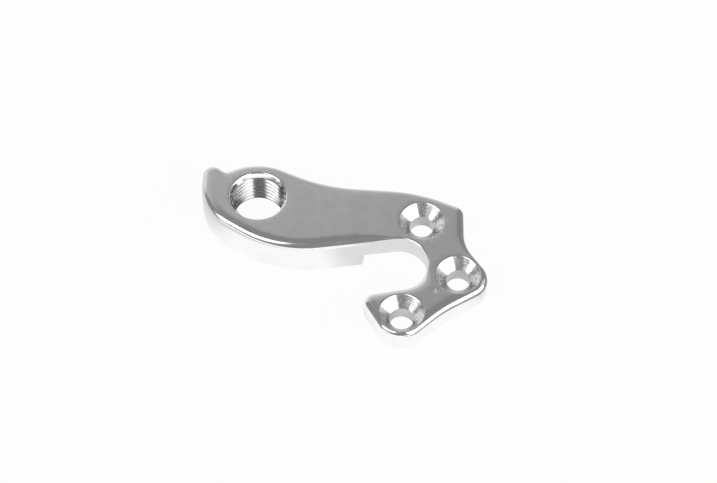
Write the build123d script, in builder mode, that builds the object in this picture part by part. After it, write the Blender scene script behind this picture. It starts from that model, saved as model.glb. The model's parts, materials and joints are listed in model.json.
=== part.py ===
"""Bicycle derailleur hanger, machined as one piece of aluminium.

Millimetres. The origin is on the axis of the derailleur bore, in the plane of the seat that lies on the frame.
+Z points to the outer face, where the screw heads sit. +X runs along the arm towards the wheel axle.
"""

import os
from math import radians, tan
from build123d import *

# Thickness of the arm, and of the section that is screwed to the frame
arm_thickness = 7.5
mount_thickness = 4.5

# Edge finish: wide rounding round the outer face, narrow at the back
outer_round = 1.5
edge_round = 0.5
step_round = 0.8

# Derailleur bore: metric fine thread, cut here at its minor diameter
thread_diameter = 10.0
thread_pitch = 1.0
minor_depth_per_pitch = 1.0825
mouth_round = 0.95
bore_chamfer = 0.65

# Hook round the wheel axle, placed from the bore
axle_x = 25.5
axle_y = -14.65
slot_width = 10.4

# Countersunk screw holes
screw_hole_diameter = 4.4
screw_head_diameter = 8.2
screw_head_angle = 90

# Direction of each screw from the axle, in degrees, and the wall left between its head and the slot
upper_screw_angle = 65.0
upper_screw_wall = 0.74
rear_screw_angle = -13.97
rear_screw_wall = 1.675
lower_screw_angle = -87.87
lower_screw_wall = 1.58

# Back face: the step lies this far along the line from the bore to the upper screw
step_distance = 20.6

# Outline corners at the bore end, placed from the bore, each with its rounding
belly_x = 3.5
belly_y = -12.2
belly_round = 20.5
heel_x = -10.6
heel_y = -2.8
heel_round = 11.2
nose_x = -10.0
nose_y = 9.3
nose_round = 2.0
notch_x = -5.85
notch_y = 6.1
notch_round = 0.7
crown_wall = 3.7
crown_round = 10.2
waist_x = 12.2
waist_y = 2.9
waist_round = 30.0

# Outline corners at the upper screw, placed from the square round its head
shoulder_x = -0.7
shoulder_y = 3.05
shoulder_round = 27.3
corner_x = 3.6
corner_y = -0.8
corner_round = 2.1

# Outline corners at the rear screw, placed from the square round its head
neck_x = -2.8
neck_y = 2.85
neck_round = 8.1
rear_lobe_x = 2.95
rear_lobe_y = 2.45
rear_lobe_round = 4.4

# Outline corner between the rear and lower screws, placed from a head halfway between them
saddle_x = -1.75
saddle_y = 0.61
saddle_round = 25.9

# Outline corners at the lower screw, placed from the square round its head
lower_lobe_x = -1.2
lower_lobe_y = -3.4
lower_lobe_round = 4.7
hook_tip_x = -3.65
hook_tip_y = 0.06
hook_tip_round = 1.95

# Share of a straight side that the roundings at its two ends may use up
side_share = 0.98

# Sizes that follow from those above
step_height = arm_thickness - mount_thickness
bore_radius = (thread_diameter - minor_depth_per_pitch * thread_pitch) / 2
slot_radius = slot_width / 2
head_radius = screw_head_diameter / 2
axle = Vector(axle_x, axle_y)


def screw_place(angle, wall):
    """Centre of a screw hole, seen from the axle in the given direction."""
    return axle + Vector(slot_radius + wall + head_radius, 0).rotate(Axis.Z, angle)


def beside(screw, across, up):
    """Point on the square round a screw's head, -1 to 1 across it and up it."""
    return screw + Vector(across, up) * head_radius


def fitting_rounds(points, rounds):
    """The roundings of a path's inner points, cut down where two would meet on a side."""
    turns = [(b - a).get_angle(c - b) for a, b, c in zip(points, points[1:], points[2:])]
    reaches = [0, *[rounding * tan(radians(turn) / 2) for rounding, turn in zip(rounds, turns)], 0]
    sides = [(b - a).length * side_share for a, b in zip(points, points[1:])]
    shares = [min(1, side / (a + b)) for side, a, b in zip(sides, reaches, reaches[1:])]
    return [rounding * min(a, b) for rounding, a, b in zip(rounds, shares, shares[1:])]


def topmost(lines):
    """The line furthest towards +Y."""
    return lines.sort_by(Axis.Y)[-1]


def lowest(lines):
    """The line furthest towards -Y."""
    return lines.sort_by(Axis.Y)[0]


upper_screw = screw_place(upper_screw_angle, upper_screw_wall)
rear_screw = screw_place(rear_screw_angle, rear_screw_wall)
lower_screw = screw_place(lower_screw_angle, lower_screw_wall)
between_screws = (rear_screw + lower_screw) / 2

# Outline corners in order, from the front of the arm round the bore and the screws to the hook's tip
corners = [
    (Vector(belly_x, belly_y), belly_round),
    (Vector(heel_x, heel_y), heel_round),
    (Vector(nose_x, nose_y), nose_round),
    (Vector(notch_x, notch_y), notch_round),
    (Vector(0, thread_diameter / 2 + crown_wall), crown_round),
    (Vector(waist_x, waist_y), waist_round),
    (beside(upper_screw, 0, 1) + Vector(shoulder_x, shoulder_y), shoulder_round),
    (beside(upper_screw, 1, 1) + Vector(corner_x, corner_y), corner_round),
    (beside(rear_screw, 1, 1) + Vector(neck_x, neck_y), neck_round),
    (beside(rear_screw, 1, -1) + Vector(rear_lobe_x, rear_lobe_y), rear_lobe_round),
    (beside(between_screws, 1, -1) + Vector(saddle_x, saddle_y), saddle_round),
    (beside(lower_screw, 0, -1) + Vector(lower_lobe_x, lower_lobe_y), lower_lobe_round),
    (beside(lower_screw, -1, 1) + Vector(hook_tip_x, hook_tip_y), hook_tip_round),
]
corner_points = [point for point, rounding in corners]
corner_rounds = [rounding for point, rounding in corners]

with BuildPart() as derailleur_hanger:
    # Blank: the outline runs tangent into the hook at both edges of the axle slot
    with BuildSketch(Plane.XY.offset(-step_height)):
        with BuildLine():
            hook = CenterArc(axle, slot_radius, 0, 360, mode=Mode.PRIVATE)
            upper_edge = ConstrainedLines(hook, corner_points[0], selector=topmost, mode=Mode.PRIVATE)
            lower_edge = ConstrainedLines(hook, corner_points[-1], selector=lowest, mode=Mode.PRIVATE)
            path = [upper_edge.edge() @ 0, *corner_points, lower_edge.edge() @ 0]
            outline = FilletPolyline(*path, radius=fitting_rounds(path, corner_rounds))
            TangentArc(outline @ 1, outline @ 0, tangent=outline % 1)
        make_face()
    extrude(amount=arm_thickness)

    # Seat: the back of the mounting section is cut down, up to the step across the arm
    arm_direction = Axis((0, 0, 0), upper_screw)
    step = Plane(upper_screw.normalized() * step_distance, x_dir=upper_screw, z_dir=(0, 0, 1))
    cut_size = 2 * derailleur_hanger.part.bounding_box().diagonal
    with BuildSketch(step):
        Rectangle(cut_size, cut_size, align=(Align.MIN, Align.CENTER))
    extrude(amount=-step_height, mode=Mode.SUBTRACT)
    fillet(faces().filter_by(arm_direction).edges().group_by(Axis.Z)[-1], step_round)

    # Edges: wide round the outer face, narrow round both back faces and up the two ends of the step
    arm_back, seat, outer_face = faces().filter_by(Axis.Z).sort_by(Axis.Z)
    fillet(outer_face.edges(), outer_round)
    arm_back, seat, outer_face = faces().filter_by(Axis.Z).sort_by(Axis.Z)
    seat_edges = seat.edges().filter_by(Axis((0, 0, 0), step.y_dir), reverse=True)
    step_ends = faces().filter_by(arm_direction).edges().filter_by(Axis.Z)
    fillet(arm_back.edges() + seat_edges + step_ends, edge_round)

    # Derailleur bore, rounded at its outer mouth and chamfered at the back
    Hole(bore_radius)
    back_mouth, outer_mouth = edges(Select.LAST).filter_by(GeomType.CIRCLE).sort_by(Axis.Z)
    fillet(outer_mouth, mouth_round)
    chamfer(back_mouth, bore_chamfer)

    # Screw holes, countersunk from the outer face
    with Locations(*[screw + Vector(0, 0, mount_thickness) for screw in (upper_screw, rear_screw, lower_screw)]):
        CounterSinkHole(
            radius=screw_hole_diameter / 2,
            counter_sink_radius=head_radius,
            counter_sink_angle=screw_head_angle,
        )

derailleur_hanger.part.label = "derailleur_hanger"
os.makedirs("parts", exist_ok=True)
export_step(derailleur_hanger.part, "parts/derailleur_hanger.step")
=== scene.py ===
"""Looks of the derailleur hanger: the finely meshed part with its thread, its finish and a small studio.

Sizes are in millimetres in the part's frame, and MM turns them into metres.
"""

import json
from bisect import bisect
from math import atan2, ceil, cos, exp, pi, radians, sin, tan
import bmesh
import bpy
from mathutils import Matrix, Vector
from mathutils.geometry import delaunay_2d_cdt
from mathutils.kdtree import KDTree


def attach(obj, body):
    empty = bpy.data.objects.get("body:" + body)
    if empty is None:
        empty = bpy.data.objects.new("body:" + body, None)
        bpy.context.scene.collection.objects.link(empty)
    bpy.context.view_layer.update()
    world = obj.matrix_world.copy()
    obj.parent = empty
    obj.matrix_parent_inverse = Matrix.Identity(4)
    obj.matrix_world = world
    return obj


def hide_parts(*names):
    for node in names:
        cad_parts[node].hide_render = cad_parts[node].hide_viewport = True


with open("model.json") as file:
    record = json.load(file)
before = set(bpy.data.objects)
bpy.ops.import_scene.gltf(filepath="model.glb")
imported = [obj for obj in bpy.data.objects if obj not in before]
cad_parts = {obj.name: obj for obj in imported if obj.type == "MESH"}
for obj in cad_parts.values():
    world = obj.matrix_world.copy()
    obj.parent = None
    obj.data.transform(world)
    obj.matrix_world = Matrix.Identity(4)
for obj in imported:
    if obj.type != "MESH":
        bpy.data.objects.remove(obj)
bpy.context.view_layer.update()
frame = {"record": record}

MM = 0.001

# Lengths under this count as nothing
TINY = 0.001

# Places of the bore, which is the origin, the wheel axle and the screws, seen from above
MOUNTS = {mount["name"]: Vector(mount["pos_m"][:2]) / MM for mount in frame["record"]["mounts"]}
BORE = MOUNTS["derailleur_bore"]
AXLE = MOUNTS["axle_slot"]
UPPER_SCREW = MOUNTS["upper_screw_hole"]
REAR_SCREW = MOUNTS["rear_screw_hole"]
LOWER_SCREW = MOUNTS["lower_screw_hole"]
SCREWS = (UPPER_SCREW, REAR_SCREW, LOWER_SCREW)

# Heights of the outer face, the seat and the arm's back
TOP = 4.5
SEAT = 0.0
BACK = -3.0

# Outline corners at the bore end: place from the bore, and rounding
BELLY = (3.5, -12.2, 20.5)
HEEL = (-10.6, -2.8, 11.2)
NOSE = (-10.0, 9.3, 2.0)
NOTCH = (-5.85, 6.1, 0.7)
CROWN = (0.0, 8.7, 10.2)
WAIST = (12.2, 2.9, 30.0)

# Outline corners at the screws: place from a point on the square round a head, and rounding
SHOULDER = (-0.7, 3.05, 27.3)
CORNER = (3.6, -0.8, 2.1)
NECK = (-2.8, 2.85, 8.1)
REAR_LOBE = (2.95, 2.45, 4.4)
SADDLE = (-1.75, 0.61, 25.9)
LOWER_LOBE = (-1.2, -3.4, 4.7)
HOOK_TIP = (-3.65, 0.06, 1.95)

# Fineness of the outline
ARC_STEP = radians(3)
LINE_STEP = 0.6

# Hook round the wheel axle
SLOT_RADIUS = 5.2

# Countersunk screw holes, with a slightly broken rim
HOLE_RADIUS = 2.2
HEAD_RADIUS = 4.1
RIM_BREAK = 0.16
RIM_STEPS = 6
RIM_TRIES = 6
HOLE_STEPS = 144

# Step across the back of the arm, square to the line from the bore to the upper screw
STEP_DISTANCE = 20.6
STEP_CLEAR = 1.4
STEP_ROUND = 0.8

# Back edges
EDGE_ROUND = 0.5
ROUND_SEGMENTS = 6
ROUND_PROFILE = 0.5

# Outer edge: a wide rounding that polishing eases into the face
OUTER_ROUND = 1.5
EASE_LENGTH = 0.75
EASE_TILT = radians(5)
EDGE_STEPS = 40
EDGE_FINE = 20

# Inside the hook the edge is crisper: share of its size there
# It grows to full size between two angles round the axle, and along the front of the arm
HOOK_SHARE = 0.22
HOOK_LOWER = (radians(-10), radians(-45))
HOOK_TAPER = 10.0

# Outer face: reach of the rings along its edge, least gap between them, the holes and other points,
# spacing of the points further in, fineness of the measured distance to the outline,
# and the kind of net that is asked for: triangles inside the outline only
RING_REACH = 0.38
POINT_GAP = 0.07
FACE_GRID = 1.0
DISTANCE_STEP = 0.05
INNER_TRIANGLES = 1

# Small dent in the outer face, between the rear and lower screws
DENT = Vector((32.0, -20.75))
DENT_RADIUS = 0.8
DENT_DEPTH = 0.05
DENT_RINGS = 6
DENT_STEPS = 18

# Derailleur bore: polished rim, lead-in cone, metric fine thread and the chamfer at the back
BORE_RIM = 5.46
BORE_RIM_ROUND = 0.35
LEAD_ANGLE = radians(30)
THREAD_MINOR = 4.459
THREAD_MAJOR = 5.0
THREAD_PITCH = 1.0
THREAD_START = 3.9
THREAD_FADE = 0.3
ROOT_FLAT = 0.04
CREST_FLAT = 0.06
FLANK_CURVE = 0.15
BACK_MOUTH = 5.109
BORE_STEPS = 144
BORE_ROWS = 178

# Edges that turn by more than this stay crisp
SHARP = radians(40)

# Places of the finishes in the mesh's list of materials
POLISHED = 0
TURNED = 1
DRILLED = 2
THREADED = 3

# Name of the places round a hole that the mesh keeps for its finishes
TURNING = "turning"

# Every finish: drift between its two shades, and of its roughness
# All scales are per metre, and all depths are in millimetres
CLOUD_SCALE = 300
CLOUD_DETAIL = 4
CLOUD_STOPS = (0.35, 0.65)
HAZE_DETAIL = 3
HAZE_RANGE = (0.3, 0.7)

# Polished finish: a slow sway, and a fine grain along the part
POLISHED_SHADES = ((0.95, 0.95, 0.945), (0.98, 0.98, 0.975))
POLISHED_HAZE = 500
POLISHED_ROUGHNESS = (0.12, 0.18)
SWAY_SCALE = 220
SWAY_DETAIL = 1
SWAY_DEPTH = 0.0025
GRAIN_SCALE = 9000
GRAIN_DETAIL = 2
GRAIN_STRETCH = (0.06, 1, 1)
GRAIN_DEPTH = 0.0006

# Scuff on the dent: its rough finish and its ragged edge
SCUFF_ROUGHNESS = 0.5
SCUFF_SCALE = 1600
SCUFF_DETAIL = 3
SCUFF_RAGGED = 1.6
SCUFF_OUTER = 1.45
SCUFF_INNER = 1.0

# Turned finish: grooves and chatter, by the cosine and sine of the angle and by depth
TURNED_SHADES = ((0.86, 0.86, 0.855), (0.92, 0.92, 0.915))
TURNED_HAZE = 900
TURNED_ROUGHNESS = (0.2, 0.32)
GROOVE_DETAIL = 2
GROOVE_STRETCH = (2.5, 2.5, 1600)
GROOVE_DEPTH = 0.03
CHATTER_DETAIL = 1
CHATTER_STRETCH = (5, 5, 500)
CHATTER_DEPTH = 0.06

# Drilled finish: darker shades that are painted shade inside the screw holes
DRILLED_PAINTED_SHADE_TONES = ((0.52, 0.52, 0.515), (0.66, 0.66, 0.655))
DRILLED_HAZE = 1500
DRILLED_STRETCH = (0.3, 0.3, 4)
DRILLED_ROUGHNESS = (0.3, 0.42)

# Threaded finish: streaks, by the cosine and sine of the angle and by depth
THREADED_SHADES = ((0.46, 0.46, 0.455), (0.52, 0.52, 0.515))
THREADED_HAZE = 900
THREADED_ROUGHNESS = (0.12, 0.2)
STREAK_DETAIL = 3
STREAK_STRETCH = (4, 4, 6000)
STREAK_DEPTH = 0.008

# Floor: plain white paper, which the camera sees almost at full white
# In the metal's reflections its glow carries painted shade: dimmer beyond the part's two ends, and a painted
# shadow of the part inside the hook:
# where that starts and ends, in metres, and the level at each
FLOOR_SIZE = 2000
FLOOR_GAP = 0.01
PAPER_WHITE = (0.95, 0.95, 0.95, 1)
GLOW_WHITE = (1, 1, 1, 1)
SEEN_GLOW = 0.96
MIRRORED_GLOW = 0.97
LEFT_PAINTED_SHADE = (-0.007, -0.014, 1.0, 0.68)
RIGHT_PAINTED_SHADE = (0.04, 0.055, 1.0, 0.25)
HOOK_PAINTED_SHADOW = (0.008, 0.014, 0.76, 1.0)

# Studio: soft boxes and cards in a dim room, each from left to right by side angle from the camera
# and from bottom to top by height, in degrees
# The boxes lean: they are lower by this share of the side angle
BOX_LEAN = 0.5
LEFT_BOX = (-82, -27, 60, 91)
RIGHT_BOX = (26, 93, 36, 74)
FRONT_CARD = (-72, 50, -12, 11)
SIDE_CARD = (90, 118, 4, 40)
BOX_LEVEL = 2.1
FRONT_LEVEL = 1.0
SIDE_LEVEL = 0.4
CARD_EDGE = 4
ROOM_LEVEL = 0.225

# Far wall of the room: its level from left to right by direction, its glow towards the floor by height,
# and where it fades out: by height at the top, by direction towards the camera, and by angle at its sides
WALL_LEVEL = (-0.01, 0.045, 0.19, 0.09)
WALL_FOOT = (50, 0, 0.0, 0.35)
WALL_TOP = (62, 52)
WALL_NEAR = (0.08, 0.28)
WALL_LEFT = (-68, -56)
WALL_RIGHT = (32, 18)

# Camera: place, tilt from straight down, and focal length in pixels of the photograph
CAMERA_PLACE = Vector((18.2909, -319.6514, 446.5547))
CAMERA_TILT = radians(35)
FOCAL_PIXELS = 3000
PHOTO_WIDTH = 717


def beside(screw, across, up):
    """A point on the square round a screw's head, -1 to 1 across it and up it."""
    return screw + HEAD_RADIUS * Vector((across, up))


def corners():
    """Outline corners with their roundings, from the front of the arm round the bore to the hook's tip."""
    placed = [
        (BORE, BELLY),
        (BORE, HEEL),
        (BORE, NOSE),
        (BORE, NOTCH),
        (BORE, CROWN),
        (BORE, WAIST),
        (beside(UPPER_SCREW, 0, 1), SHOULDER),
        (beside(UPPER_SCREW, 1, 1), CORNER),
        (beside(REAR_SCREW, 1, 1), NECK),
        (beside(REAR_SCREW, 1, -1), REAR_LOBE),
        (beside((REAR_SCREW + LOWER_SCREW) / 2, 1, -1), SADDLE),
        (beside(LOWER_SCREW, 0, -1), LOWER_LOBE),
        (beside(LOWER_SCREW, -1, 1), HOOK_TIP),
    ]
    return [(start + Vector((x, y)), rounding) for start, (x, y, rounding) in placed]


def arc(centre, radius, start, sweep):
    """Points of an arc, each with its direction of travel."""
    steps = max(2, ceil(abs(sweep) / ARC_STEP))
    turn = 1 if sweep > 0 else -1
    angles = [start + sweep * i / steps for i in range(steps + 1)]
    return [(centre + radius * Vector((cos(a), sin(a))), turn * Vector((-sin(a), cos(a)))) for a in angles]


def round_corner(before, here, after, radius):
    """The arc that rounds a corner."""
    back, ahead = (before - here).normalized(), (after - here).normalized()
    half = back.angle(ahead) / 2
    centre = here + (back + ahead).normalized() * radius / sin(half)
    start = here + back * radius / tan(half) - centre
    end = here + ahead * radius / tan(half) - centre
    return arc(centre, radius, atan2(start.y, start.x), atan2(start.cross(end), start.dot(end)))


def slot_end(point, side):
    """Where the line from a corner touches the hook, on its upper (1) or lower (-1) side."""
    to_point = point - AXLE
    turn = side * -atan2((to_point.length_squared - SLOT_RADIUS**2) ** 0.5, SLOT_RADIUS)
    heading = atan2(to_point.y, to_point.x) + turn
    return AXLE + SLOT_RADIUS * Vector((cos(heading), sin(heading)))


def outline():
    """The closed outline as points with directions, with one point at each end of the step."""
    placed = corners()
    points = [point for point, rounding in placed]
    path = [slot_end(points[0], 1), *points, slot_end(points[-1], -1)]
    runs = []
    for before, (here, rounding), after in zip(path, placed, path[2:]):
        runs.append(round_corner(before, here, after, rounding))
    start, end = path[-1] - AXLE, path[0] - AXLE
    sweep = atan2(start.cross(end), start.dot(end)) % (2 * pi)
    runs.append(arc(AXLE, SLOT_RADIUS, atan2(start.y, start.x), sweep))
    along = UPPER_SCREW.normalized()
    made = []
    for run, following in zip(runs, runs[1:] + runs[:1]):
        made += run
        first, last = run[-1][0], following[0][0]
        heading = (last - first).normalized()
        length = (last - first).length
        steps = ceil(length / LINE_STEP)
        places = [first + heading * length * i / steps for i in range(1, steps)]
        from_step = [STEP_DISTANCE - first.dot(along), STEP_DISTANCE - last.dot(along)]
        if from_step[0] * from_step[1] < 0:
            places = [place for place in places if abs(STEP_DISTANCE - place.dot(along)) > STEP_CLEAR]
            places.append(first + heading * from_step[0] / heading.dot(along))
            places.sort(key=lambda place: (place - first).length)
        made += [(place, heading) for place in places]
    return made


def edge_profile():
    """Inset and drop of the outer edge, from the wall to the face."""
    count = EDGE_STEPS * EDGE_FINE
    tilts = [pi / 2 * (1 - i / count) ** 2 for i in range(count + 1)]
    inset, rise, rows = 0.0, 0.0, [(0.0, 0.0)]
    for i, (a, b) in enumerate(zip(tilts, tilts[1:])):
        tilt = (a + b) / 2
        reach = (OUTER_ROUND + EASE_LENGTH / EASE_TILT * exp(-tilt / EASE_TILT)) * (a - b)
        inset += reach * cos(tilt)
        rise += reach * sin(tilt)
        if (i + 1) % EDGE_FINE == 0:
            rows.append((inset, rise))
    return [(row_inset, rise - row_rise) for row_inset, row_rise in rows]


def smooth_rise(value, start, end):
    """Goes smoothly from 0 to 1 while a value goes from start to end."""
    share = min(1, max(0, (value - start) / (end - start)))
    return share * share * (3 - 2 * share)


def edge_share(place):
    """Size of the outer edge at a place on the outline, as a share of its full size."""
    belly = Vector(BELLY[:2])
    front = slot_end(belly, 1)
    ahead = (belly - front).normalized()
    from_axle = place - AXLE
    from_hook = place - front
    if from_axle.length < SLOT_RADIUS + POINT_GAP:
        rise = smooth_rise(atan2(from_axle.y, from_axle.x), *HOOK_LOWER)
    elif abs(from_hook.cross(ahead)) < POINT_GAP and from_hook.dot(ahead) > 0:
        rise = 1 - max(0, 1 - from_hook.dot(ahead) / HOOK_TAPER) ** 2
    else:
        rise = 1
    return HOOK_SHARE + (1 - HOOK_SHARE) * rise


def dent_drop(place):
    """Depth of the dent at a place."""
    return DENT_DEPTH * (1 - smooth_rise((place - DENT).length, 0, DENT_RADIUS))


def dent_places():
    """Places for the points of the dent, in rings round its middle."""
    reaches = [DENT_RADIUS * i / DENT_RINGS for i in range(1, DENT_RINGS + 1)]
    turns = [2 * pi * i / DENT_STEPS for i in range(DENT_STEPS)]
    return [DENT + reach * Vector((cos(turn), sin(turn))) for reach in reaches for turn in turns]


class Face:
    """How far inside the outline a place lies, and how far the outer face has dropped there."""

    def __init__(self, samples, profile):
        self.insets = [inset for inset, drop in profile]
        self.drops = [drop for inset, drop in profile]
        self.outwards = []
        self.shares = []
        places = []
        for (a, heading), (b, _) in zip(samples, samples[1:] + samples[:1]):
            steps = max(1, ceil((b - a).length / DISTANCE_STEP))
            places += [a.lerp(b, i / steps) for i in range(steps)]
            self.outwards += [Vector((-heading.y, heading.x))] * steps
            self.shares += [edge_share(a) + (edge_share(b) - edge_share(a)) * i / steps for i in range(steps)]
        self.tree = KDTree(len(places))
        for i, place in enumerate(places):
            self.tree.insert((*place, 0), i)
        self.tree.balance()

    def inset(self, place):
        """Distance of a place from the outline, below 0 outside it."""
        nearest, i, distance = self.tree.find((*place, 0))
        return -distance if (place - nearest.xy).dot(self.outwards[i]) > 0 else distance

    def drop(self, place):
        """How far the outer face lies below its top at a place."""
        size = self.shares[self.tree.find((*place, 0))[1]]
        distance = self.inset(place) / size
        upper = max(1, bisect(self.insets, distance))
        if upper == len(self.insets):
            return dent_drop(place)
        share = (distance - self.insets[upper - 1]) / (self.insets[upper] - self.insets[upper - 1])
        return size * (self.drops[upper - 1] + (self.drops[upper] - self.drops[upper - 1]) * share)


def ring(mesh, places):
    """Vertices at the given places, in millimetres."""
    return [mesh.verts.new(Vector(place) * MM) for place in places]


def bridge(mesh, a, b, material=POLISHED):
    """Faces between two rings of the same count."""
    for i in range(len(a)):
        face = mesh.faces.new((a[i - 1], a[i], b[i], b[i - 1]))
        face.material_index = material


def loop_edges(mesh, loop):
    """Edges round a ring."""
    pairs = zip(loop[-1:] + loop[:-1], loop)
    return [mesh.edges.get(pair) or mesh.edges.new(pair) for pair in pairs]


def fill(mesh, *loops):
    """A flat face inside the first ring and outside the others."""
    edges = [edge for loop in loops for edge in loop_edges(mesh, loop)]
    bmesh.ops.triangle_fill(mesh, use_beauty=True, edges=edges)


def turned_ring(mesh, centre, turns, rows):
    """A ring round a hole from radii and heights, which remembers its angle and how deep it lies."""
    places = [(centre.x + r * cos(t), centre.y + r * sin(t), z) for (r, z), t in zip(rows, turns)]
    made = ring(mesh, places)
    for vert, turn, (_, z) in zip(made, turns, rows):
        vert[mesh.verts.layers.float_vector[TURNING]] = (cos(turn), sin(turn), (TOP - z) * MM)
    return made


def screw_hole(mesh, centre, face):
    """A countersunk hole, and its rings at the outer face and the seat."""
    turns = [2 * pi * i / HOLE_STEPS for i in range(HOLE_STEPS)]
    bends = []
    for turn in turns:
        ahead = Vector((cos(turn), sin(turn)))
        rim = HEAD_RADIUS
        for _ in range(RIM_TRIES):
            rim = HEAD_RADIUS - face.drop(centre + ahead * rim)
        wide = rim + RIM_BREAK
        outside = Vector((wide, TOP - face.drop(centre + ahead * wide)))
        inside = Vector((rim - RIM_BREAK, TOP - HEAD_RADIUS + rim - RIM_BREAK))
        bends.append((outside, Vector((rim, TOP - HEAD_RADIUS + rim)), inside))
    rings = []
    for step in range(RIM_STEPS + 1):
        share = step / RIM_STEPS
        rows = [a.lerp(b, share).lerp(b.lerp(c, share), share) for a, b, c in bends]
        rings.append(turned_ring(mesh, centre, turns, rows))
    for height in (TOP - HEAD_RADIUS + HOLE_RADIUS, SEAT):
        rings.append(turned_ring(mesh, centre, turns, [(HOLE_RADIUS, height)] * HOLE_STEPS))
    finishes = [TURNED] * (RIM_STEPS + 1) + [DRILLED]
    for a, b, finish in zip(rings, rings[1:], finishes):
        bridge(mesh, a, b, finish)
    return rings[0], rings[-1]


def thread_radius(turn, height):
    """Radius of the threaded bore, with slightly curved flanks between its crest and its root."""
    phase = height / THREAD_PITCH - turn / (2 * pi)
    off_root = abs(phase - round(phase))
    flank = (1 - CREST_FLAT - ROOT_FLAT) / 2
    share = min(1, max(0, ((1 - CREST_FLAT) / 2 - off_root) / flank))
    share += FLANK_CURVE * (smooth_rise(share, 0, 1) - share)
    depth = (THREAD_MAJOR - THREAD_MINOR) * min(1, max(0, (THREAD_START - height) / THREAD_FADE))
    return THREAD_MINOR + depth * share


def derailleur_bore(mesh, face):
    """The bore, and its rings at the outer face and the arm's back."""
    turns = [2 * pi * i / BORE_STEPS for i in range(BORE_STEPS)]
    sinks = [face.drop(BORE + BORE_RIM * Vector((cos(turn), sin(turn)))) for turn in turns]
    rings, finishes = [], [POLISHED] * RIM_STEPS
    for step in range(RIM_STEPS + 1):
        share = step / RIM_STEPS
        tilt = (pi / 2 - LEAD_ANGLE) * share
        radius = BORE_RIM - BORE_RIM_ROUND * sin(tilt)
        height = TOP - BORE_RIM_ROUND * (1 - cos(tilt))
        rows = [(radius, height - sink * (1 - share)) for sink in sinks]
        rings.append(turned_ring(mesh, BORE, turns, rows))
    for row in range(1, BORE_ROWS + 1):
        level = height + (BACK - height) * row / BORE_ROWS
        lead = radius - (height - level) * tan(LEAD_ANGLE)
        mouth = BACK_MOUTH - (level - BACK)
        rows = [(max(thread_radius(turn, level), lead, mouth), level) for turn in turns]
        rings.append(turned_ring(mesh, BORE, turns, rows))
        finishes.append(POLISHED if level > THREAD_START - THREAD_FADE else THREADED)
    for a, b, finish in zip(rings, rings[1:], finishes):
        bridge(mesh, a, b, finish)
    return rings[0], rings[-1]


def inside_rim(place, centre, radii, margin):
    """Whether a place lies inside a rim that is given by its radii, or within a margin of it."""
    from_centre = place - centre
    turn = atan2(from_centre.y, from_centre.x) / (2 * pi)
    return from_centre.length < radii[round(turn * len(radii)) % len(radii)] + margin


def outer_face(mesh, edge, rims, face, rows):
    """The outer face as a fine net inside its edge and outside the rims of the holes."""
    loops = [edge, *[rim for centre, rim in rims]]
    known = [vert for loop in loops for vert in loop]
    places = [vert.co.xy / MM for vert in known]
    lines, first = [], 0
    for loop in loops:
        lines += [(first + i, first + (i + 1) % len(loop)) for i in range(len(loop))]
        first += len(loop)
    reaches = [(centre, [(vert.co.xy / MM - centre).length for vert in rim]) for centre, rim in rims]
    low = Vector([min(place[axis] for place in places) for axis in (0, 1)])
    size = Vector([max(place[axis] for place in places) for axis in (0, 1)]) - low
    counts = [ceil(length / FACE_GRID) for length in size]
    grid = [low + FACE_GRID * Vector((i, j)) for i in range(counts[0]) for j in range(counts[1])]
    inner = max(inset for inset, place in rows)
    spots = rows + [(inner + POINT_GAP, place) for place in grid]
    for inset, place in spots:
        in_hole = any(inside_rim(place, centre, radii, POINT_GAP) for centre, radii in reaches)
        if not in_hole and face.inset(place) > inset - POINT_GAP / 2:
            places.append(place)
    net = delaunay_2d_cdt(places, lines, [], INNER_TRIANGLES, TINY * TINY)
    spread, _, triangles, sources, _, _ = net
    verts = {i: known[source[0]] for i, source in enumerate(sources) if source[0] < len(known)}
    for triangle in triangles:
        middle = sum((spread[i] for i in triangle), Vector((0, 0))) / len(triangle)
        if any(inside_rim(middle, centre, radii, -TINY) for centre, radii in reaches):
            continue
        for i in triangle:
            if i not in verts:
                verts[i] = mesh.verts.new(Vector((*spread[i], TOP - face.drop(spread[i]))) * MM)
        mesh.faces.new([verts[i] for i in triangle])


def bevel(mesh, edges, radius):
    """Rounds edges."""
    bmesh.ops.bevel(
        mesh,
        geom=edges,
        offset=radius * MM,
        offset_type="OFFSET",
        segments=ROUND_SEGMENTS,
        profile=ROUND_PROFILE,
        affect="EDGES",
        clamp_overlap=False,
    )


def flat_loop(mesh, height):
    """Takes out the flat back face at a height, and gives the ring round it."""
    level = [face for face in mesh.faces if abs(face.calc_center_median().z - height * MM) < TINY * MM]
    largest = max(level, key=lambda face: face.calc_area())
    loop = list(largest.verts)
    mesh.faces.remove(largest)
    return loop


def edge_rings(mesh, samples, profile):
    """Rings that move inwards as they rise round the outer edge, and rows of points for the face inside."""
    normals = [Vector((-heading.y, heading.x)) for place, heading in samples]
    shares = [edge_share(place) for place, heading in samples]
    rings, rows, last = [], [], 0
    for inset, drop in profile:
        flat = [p - normal * inset * share for (p, _), normal, share in zip(samples, normals, shares)]
        if inset < RING_REACH:
            rings.append(ring(mesh, [(p.x, p.y, TOP - drop * share) for p, share in zip(flat, shares)]))
        elif inset - last > POINT_GAP:
            rows += [(inset * share, place) for place, share in zip(flat, shares)]
            last = inset
    for a, b in zip(rings, rings[1:]):
        bridge(mesh, a, b)
    rows += [(last, place) for place in dent_places()]
    return rings, rows


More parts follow.
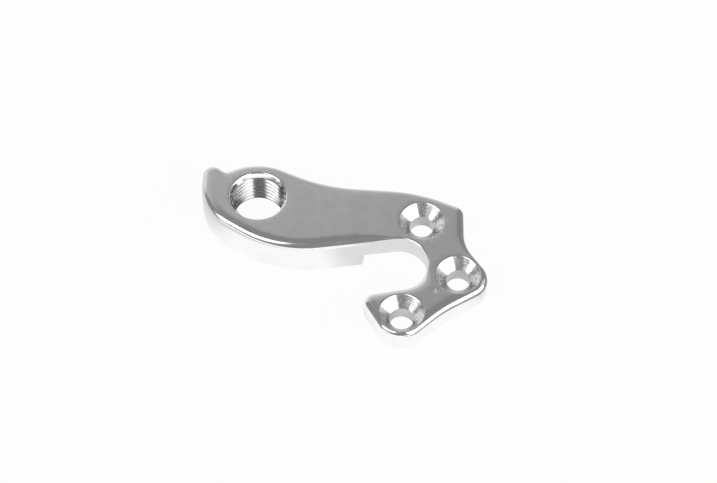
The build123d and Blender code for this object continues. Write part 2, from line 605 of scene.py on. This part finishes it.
def walls_and_back(mesh, samples, top_ring):
    """Walls below a ring, with the seat and the arm's back at two heights and the step between them."""
    along = UPPER_SCREW.normalized()
    ahead = [place.dot(along) - STEP_DISTANCE for place, heading in samples]
    at_step = [abs(distance) < TINY for distance in ahead]
    low = [BACK if distance < 0 else SEAT for distance in ahead]
    low = [SEAT if crossing else height for crossing, height in zip(at_step, low)]
    bottom = ring(mesh, [(p.x, p.y, z) for (p, _), z in zip(samples, low)])
    ends = [i for i, crossing in enumerate(at_step) if crossing]
    feet = {i: ring(mesh, [(samples[i][0].x, samples[i][0].y, BACK)])[0] for i in ends}
    count = len(samples)
    for i in range(count):
        j = (i + 1) % count
        under = [bottom[j], bottom[i]]
        if low[i] == BACK and at_step[j]:
            under = [bottom[j], feet[j], bottom[i]]
        if low[j] == BACK and at_step[i]:
            under = [bottom[j], feet[i], bottom[i]]
        mesh.faces.new([top_ring[i], top_ring[j], *under])
    first, second = ends
    inner = list(range(first, second + 1))
    outer = list(range(second, count)) + list(range(first + 1))
    arm, mount = (inner, outer) if low[first + 1] == BACK else (outer, inner)
    mesh.faces.new([bottom[i] for i in mount])
    mesh.faces.new([feet.get(i, bottom[i]) for i in arm])
    mesh.faces.new([bottom[first], bottom[second], feet[second], feet[first]])
    bmesh.ops.recalc_face_normals(mesh, faces=mesh.faces)
    root = mesh.edges.get((bottom[first], bottom[second]))
    bevel(mesh, [root], STEP_ROUND)
    sharp = [edge for edge in mesh.edges if len(edge.link_faces) == 2 and edge.calc_face_angle() > SHARP]
    bevel(mesh, sharp, EDGE_ROUND)


def hanger_mesh():
    """The whole part as one closed mesh."""
    mesh = bmesh.new()
    mesh.verts.layers.float_vector.new(TURNING)
    samples = outline()
    profile = edge_profile()
    face = Face(samples, profile)
    rings, rows = edge_rings(mesh, samples, profile)
    walls_and_back(mesh, samples, rings[0])

    # Holes, with the outer face and the two back faces filled in round them
    holes = [screw_hole(mesh, screw, face) for screw in SCREWS]
    bore_top, bore_back = derailleur_bore(mesh, face)
    rims = [(screw, rim) for screw, (rim, foot) in zip(SCREWS, holes)]
    outer_face(mesh, rings[-1], [(BORE, bore_top), *rims], face, rows)
    fill(mesh, flat_loop(mesh, SEAT), *[foot for rim, foot in holes])
    fill(mesh, flat_loop(mesh, BACK), bore_back)
    bmesh.ops.recalc_face_normals(mesh, faces=mesh.faces)
    for polygon in mesh.faces:
        polygon.smooth = True
    for edge in mesh.edges:
        edge.smooth = edge.calc_face_angle() < SHARP
    return mesh


mesh = hanger_mesh()
data = bpy.data.meshes.new("hanger")
mesh.to_mesh(data)
mesh.free()
hanger = bpy.data.objects.new("hanger", data)
bpy.context.scene.collection.objects.link(hanger)
weighting = hanger.modifiers.new("face_weights", "WEIGHTED_NORMAL")
weighting.keep_sharp = True
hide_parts("derailleur_hanger")
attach(hanger, "root")


def add(tree, kind, *values, **settings):
    """The first output of a new shader node, with values or links on its inputs in order."""
    made = tree.nodes.new(kind)
    for name, setting in settings.items():
        setattr(made, name, setting)
    for socket, value in zip(made.inputs, values):
        if isinstance(value, bpy.types.NodeSocket):
            tree.links.new(value, socket)
        elif value is not None:
            socket.default_value = value
    return made.outputs[0]


def calc(tree, operation, *values):
    """A math node."""
    return add(tree, "ShaderNodeMath", *values, operation=operation)


def ramp(tree, value, start, end, low=0.0, high=1.0):
    """Goes smoothly from low to high while a value goes from start to end."""
    return add(tree, "ShaderNodeMapRange", value, start, end, low, high, interpolation_type="SMOOTHSTEP")


def away_from(tree, place, point):
    """Distance in metres of a place from a point that is given in millimetres."""
    made = tree.nodes.new("ShaderNodeVectorMath")
    made.operation = "DISTANCE"
    made.inputs[1].default_value = Vector(point) * MM
    tree.links.new(place, made.inputs[0])
    return made.outputs["Value"]


def noise(tree, place, detail, scale=1.0, stretch=(1, 1, 1)):
    """Noise at a scale, with its places stretched along each axis first."""
    spread = add(tree, "ShaderNodeVectorMath", place, stretch, operation="MULTIPLY")
    return add(tree, "ShaderNodeTexNoise", spread, None, scale, detail)


def haze(tree, place, roughness, scale, stretch=(1, 1, 1)):
    """Roughness that drifts between two values."""
    return ramp(tree, noise(tree, place, HAZE_DETAIL, scale, stretch), *HAZE_RANGE, *roughness)


def bump(tree, height, depth, normal=None):
    """Normal of a surface raised by a height of 0 to 1 times a depth."""
    made = tree.nodes.new("ShaderNodeBump")
    made.inputs["Strength"].default_value = 1
    made.inputs["Distance"].default_value = depth * MM
    tree.links.new(height, made.inputs["Height"])
    if normal:
        tree.links.new(normal, made.inputs["Normal"])
    return made.outputs["Normal"]


def metal(name, dark, light):
    """A metal in two shades that drift into each other; gives it with its tree, shader and places."""
    material = bpy.data.materials.new(name)
    material.use_nodes = True
    tree = material.node_tree
    shader = tree.nodes["Principled BSDF"]
    shader.inputs["Metallic"].default_value = 1
    place = tree.nodes.new("ShaderNodeTexCoord").outputs["Object"]
    shades = tree.nodes.new("ShaderNodeValToRGB")
    tree.links.new(noise(tree, place, CLOUD_DETAIL, CLOUD_SCALE), shades.inputs["Fac"])
    for stop, position, shade in zip(shades.color_ramp.elements, CLOUD_STOPS, (dark, light)):
        stop.position = position
        stop.color = (*shade, 1)
    tree.links.new(shades.outputs["Color"], shader.inputs["Base Color"])
    return material, tree, shader, place


def turning(tree):
    """Places round a hole: the cosine and sine of the angle, and the depth."""
    made = tree.nodes.new("ShaderNodeAttribute")
    made.attribute_name = TURNING
    return made.outputs["Vector"]


def polished_aluminium():
    """Outer faces and walls, polished bright along the part, with the scuff on the dent."""
    material, tree, shader, place = metal("polished_aluminium", *POLISHED_SHADES)
    ragged = noise(tree, place, SCUFF_DETAIL, SCUFF_SCALE)
    from_dent = away_from(tree, place, (*DENT, TOP))
    reach = calc(tree, "MULTIPLY_ADD", ragged, SCUFF_RAGGED * MM, from_dent)
    scuff = ramp(tree, reach, SCUFF_OUTER * MM, SCUFF_INNER * MM, 0, SCUFF_ROUGHNESS)
    roughness = calc(tree, "ADD", haze(tree, place, POLISHED_ROUGHNESS, POLISHED_HAZE), scuff)
    tree.links.new(roughness, shader.inputs["Roughness"])
    sway = bump(tree, noise(tree, place, SWAY_DETAIL, SWAY_SCALE), SWAY_DEPTH)
    grain = bump(tree, noise(tree, place, GRAIN_DETAIL, GRAIN_SCALE, GRAIN_STRETCH), GRAIN_DEPTH, sway)
    tree.links.new(grain, shader.inputs["Normal"])
    return material


def turned_aluminium():
    """Countersinks, with the soft marks that the cutter leaves round them."""
    material, tree, shader, place = metal("turned_aluminium", *TURNED_SHADES)
    tree.links.new(haze(tree, place, TURNED_ROUGHNESS, TURNED_HAZE), shader.inputs["Roughness"])
    grooves = noise(tree, turning(tree), GROOVE_DETAIL, stretch=GROOVE_STRETCH)
    chatter = noise(tree, turning(tree), CHATTER_DETAIL, stretch=CHATTER_STRETCH)
    normal = bump(tree, chatter, CHATTER_DEPTH, bump(tree, grooves, GROOVE_DEPTH))
    tree.links.new(normal, shader.inputs["Normal"])
    return material


def drilled_aluminium_painted_shade():
    """Walls of the screw holes, left dull by the drill: rough, and in darker shades that are painted shade
    inside the holes.
    """
    # Painted shade: the darker shades stand in for the shade inside the screw holes
    material, tree, shader, place = metal("drilled_aluminium_painted_shade", *DRILLED_PAINTED_SHADE_TONES)
    roughness = haze(tree, place, DRILLED_ROUGHNESS, DRILLED_HAZE, DRILLED_STRETCH)
    tree.links.new(roughness, shader.inputs["Roughness"])
    return material


def threaded_aluminium():
    """Thread flanks, darker and with fine streaks along the thread."""
    material, tree, shader, place = metal("threaded_aluminium", *THREADED_SHADES)
    tree.links.new(haze(tree, place, THREADED_ROUGHNESS, THREADED_HAZE), shader.inputs["Roughness"])
    streaks = noise(tree, turning(tree), STREAK_DETAIL, stretch=STREAK_STRETCH)
    tree.links.new(bump(tree, streaks, STREAK_DEPTH), shader.inputs["Normal"])
    return material


for finish in (polished_aluminium, turned_aluminium, drilled_aluminium_painted_shade, threaded_aluminium):
    data.materials.append(finish())


def paper():
    """White paper, whose glow in the metal's reflections carries painted shade beyond the part's two ends and
    a painted shadow of the part inside the hook.
    """
    material = bpy.data.materials.new("paper")
    material.use_nodes = True
    tree = material.node_tree
    tree.nodes.clear()
    plain = add(tree, "ShaderNodeBsdfDiffuse", PAPER_WHITE)
    path = tree.nodes.new("ShaderNodeLightPath").outputs
    seen = calc(tree, "MAXIMUM", path["Is Camera Ray"], path["Is Transmission Ray"])
    place = tree.nodes.new("ShaderNodeTexCoord").outputs["Object"]
    along = add(tree, "ShaderNodeSeparateXYZ", place)
    # Painted shade: the glow that the metal mirrors is dimmed beyond the part's two ends, and inside the hook
    # as a painted shadow of the part
    painted_shade = calc(tree, "MULTIPLY", ramp(tree, along, *LEFT_PAINTED_SHADE), ramp(tree, along, *RIGHT_PAINTED_SHADE))
    hook_painted_shadow = ramp(tree, away_from(tree, place, AXLE.to_3d()), *HOOK_PAINTED_SHADOW)
    painted_shade = calc(tree, "MULTIPLY", painted_shade, hook_painted_shadow)
    glow = add(tree, "ShaderNodeEmission", GLOW_WHITE, calc(tree, "MAXIMUM", seen, painted_shade))
    share = calc(tree, "MULTIPLY", seen, SEEN_GLOW)
    share = calc(tree, "MULTIPLY_ADD", path["Is Glossy Ray"], MIRRORED_GLOW, share)
    shader = add(tree, "ShaderNodeMixShader", share, plain, glow)
    output = tree.nodes.new("ShaderNodeOutputMaterial")
    tree.links.new(shader, output.inputs["Surface"])
    return material


half = FLOOR_SIZE * MM / 2
floor_corners = [(-half, -half, 0), (half, -half, 0), (half, half, 0), (-half, half, 0)]
floor_data = bpy.data.meshes.new("floor")
floor_data.from_pydata(floor_corners, [], [(0, 1, 2, 3)])
floor_data.materials.append(paper())
ground = bpy.data.objects.new("floor", floor_data)
ground.location.z = (BACK - FLOOR_GAP) * MM
bpy.context.scene.collection.objects.link(ground)


def card(tree, level, side, height, left, right, bottom, top):
    """A soft-edged patch of light between two side angles and two heights."""
    across = calc(
        tree,
        "MULTIPLY",
        ramp(tree, side, left - CARD_EDGE, left + CARD_EDGE),
        ramp(tree, side, right + CARD_EDGE, right - CARD_EDGE),
    )
    upright = calc(
        tree,
        "MULTIPLY",
        ramp(tree, height, bottom - CARD_EDGE, bottom + CARD_EDGE),
        ramp(tree, height, top + CARD_EDGE, top - CARD_EDGE, 0.0, level),
    )
    return calc(tree, "MULTIPLY", across, upright)


def far_wall(tree, x, y, height):
    """The lit wall behind the part."""
    behind = calc(tree, "DEGREES", calc(tree, "ARCTAN2", x, y))
    wall = calc(tree, "MULTIPLY", ramp(tree, x, *WALL_LEVEL), ramp(tree, height, *WALL_TOP))
    wall = calc(tree, "ADD", wall, ramp(tree, height, *WALL_FOOT))
    wall = calc(tree, "MULTIPLY", wall, ramp(tree, y, *WALL_NEAR))
    wall = calc(tree, "MULTIPLY", wall, ramp(tree, behind, *WALL_LEFT))
    return calc(tree, "MULTIPLY", wall, ramp(tree, behind, *WALL_RIGHT))


def studio():
    """The light from every direction."""
    world = bpy.data.worlds.new("studio")
    world.use_nodes = True
    tree = world.node_tree
    split = tree.nodes.new("ShaderNodeSeparateXYZ")
    tree.links.new(tree.nodes.new("ShaderNodeTexCoord").outputs["Generated"], split.inputs[0])
    x, y, z = split.outputs
    side = calc(tree, "DEGREES", calc(tree, "ARCTAN2", x, calc(tree, "MULTIPLY", y, -1.0)))
    height = calc(tree, "DEGREES", calc(tree, "ARCSINE", z))
    lean = calc(tree, "MULTIPLY_ADD", calc(tree, "ABSOLUTE", side), BOX_LEAN, height)
    lights = [
        card(tree, BOX_LEVEL, side, lean, *LEFT_BOX),
        card(tree, BOX_LEVEL, side, lean, *RIGHT_BOX),
        card(tree, FRONT_LEVEL, side, height, *FRONT_CARD),
        card(tree, SIDE_LEVEL, side, height, *SIDE_CARD),
        far_wall(tree, x, y, height),
    ]
    level = ROOM_LEVEL
    for light in lights:
        level = calc(tree, "ADD", light, level)
    tree.links.new(level, tree.nodes["Background"].inputs["Color"])
    return world


bpy.context.scene.world = studio()

camera = bpy.data.objects.new("camera", bpy.data.cameras.new("camera"))
bpy.context.scene.collection.objects.link(camera)
camera.location = CAMERA_PLACE * MM
camera.rotation_euler = (CAMERA_TILT, 0, 0)
camera.data.lens = FOCAL_PIXELS / PHOTO_WIDTH * camera.data.sensor_width
bpy.context.scene.camera = camera
bpy.context.scene.view_settings.view_transform = "Standard"
